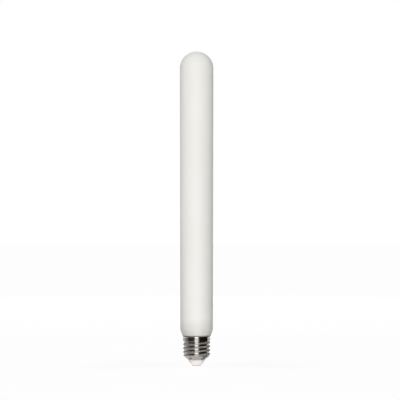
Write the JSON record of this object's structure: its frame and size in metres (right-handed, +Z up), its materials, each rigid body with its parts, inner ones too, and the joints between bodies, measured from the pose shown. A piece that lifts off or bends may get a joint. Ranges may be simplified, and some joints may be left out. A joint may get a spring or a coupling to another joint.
{
  "type": "tubular light bulb",
  "caption": "Long tubular lamp of matt opal glass with a hemispherical end, cemented into a standard 27 mm metal screw cap with a white conical insulator and a centre contact.",
  "frame": {"origin": "centre of the centre contact's end face, the lamp's lowest point", "axes": "+Z up the lamp's axis from the contact to the dome; +Y away from the picture's viewer and +X to their right"},
  "size_m": [0.032, 0.032, 0.3],
  "materials": {
    "opal_glass": "matt opal white, even all over",
    "nickel_shell": "nickel-plated sheet metal, polished with fine rolling lines",
    "white_insulator": "smooth moulded white, slightly warm",
    "contact_metal": "nickel-plated brass, dull at the middle",
    "cement": "baked capping cement, matt"
  },
  "bodies": {
    "root": {"glass_envelope": "opal_glass", "screw_shell": "nickel_shell", "insulator": "white_insulator", "centre_contact": "contact_metal", "cap_cement": "cement"}
  },
  "joints": []
}
